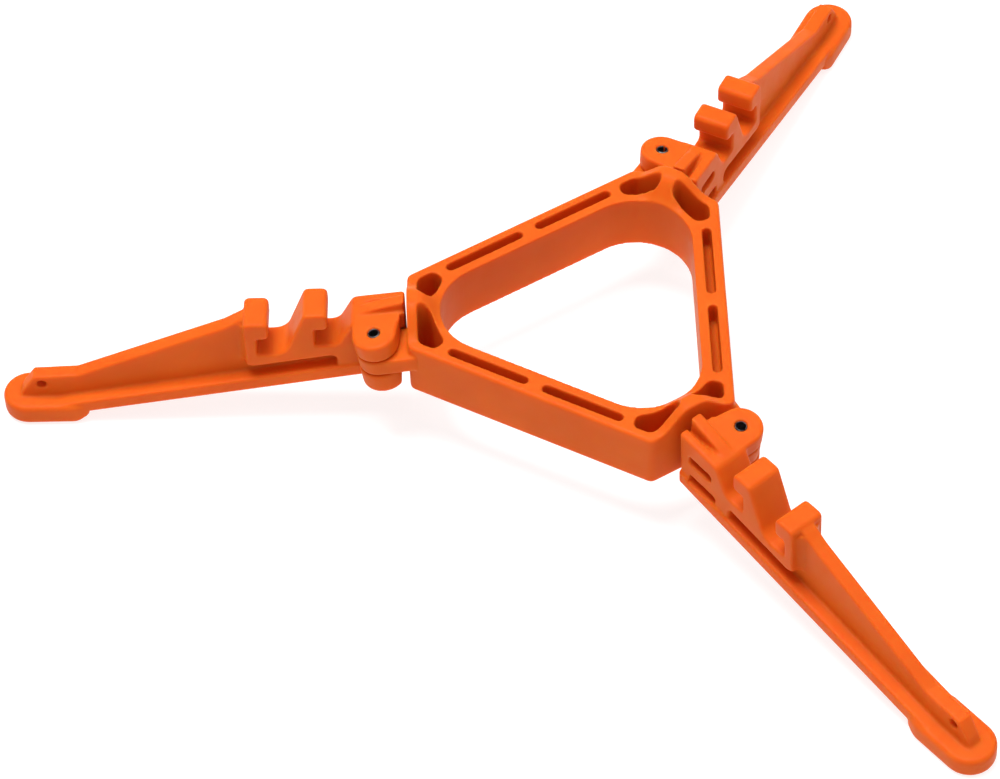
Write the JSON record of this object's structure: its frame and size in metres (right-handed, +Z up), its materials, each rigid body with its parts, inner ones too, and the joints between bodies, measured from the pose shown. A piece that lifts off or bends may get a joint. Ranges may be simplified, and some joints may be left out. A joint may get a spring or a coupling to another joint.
{
  "type": "folding canister stand",
  "caption": "Folding tripod stand for a camping fuel canister: a triangular hub ring with swing-out stepped legs that hook under the canister's base rim.",
  "frame": {"origin": "on the hub's three-fold axis, at the level of the foot soles", "axes": "+Z up along the hub axis; -X towards the corner that carries the left leg; the front leg is to -Y and the rear leg to +Y"},
  "size_m": [0.1577, 0.169, 0.0255],
  "materials": {
    "orange_plastic": "injection-moulded orange nylon, satin",
    "pin_steel": "rolled spring steel, dark"
  },
  "bodies": {
    "hub": {"hub": "orange_plastic"},
    "leg_left": {"leg_left": "orange_plastic", "hinge_pin_left": "pin_steel"},
    "leg_front": {"leg_front": "orange_plastic", "hinge_pin_front": "pin_steel"},
    "leg_rear": {"leg_rear": "orange_plastic", "hinge_pin_rear": "pin_steel"}
  },
  "joints": [
    {"name": "left_leg_fold", "type": "hinge", "parent": "hub", "child": "leg_left", "pos_m": [-0.035, -0.0054, 0.01725], "axis": [-0.1305, 0, 0.9914], "range_deg": [-0.5, 147.5]},
    {"name": "front_leg_fold", "type": "hinge", "parent": "hub", "child": "leg_front", "pos_m": [0.02217, -0.02761, 0.01725], "axis": [0.0653, -0.113, 0.9914], "range_deg": [-10.2, 137.8]},
    {"name": "rear_leg_fold", "type": "hinge", "parent": "hub", "child": "leg_rear", "pos_m": [0.01282, 0.03301, 0.01725], "axis": [0.0653, 0.113, 0.9914], "range_deg": [-3.9, 144.1]}
  ]
}
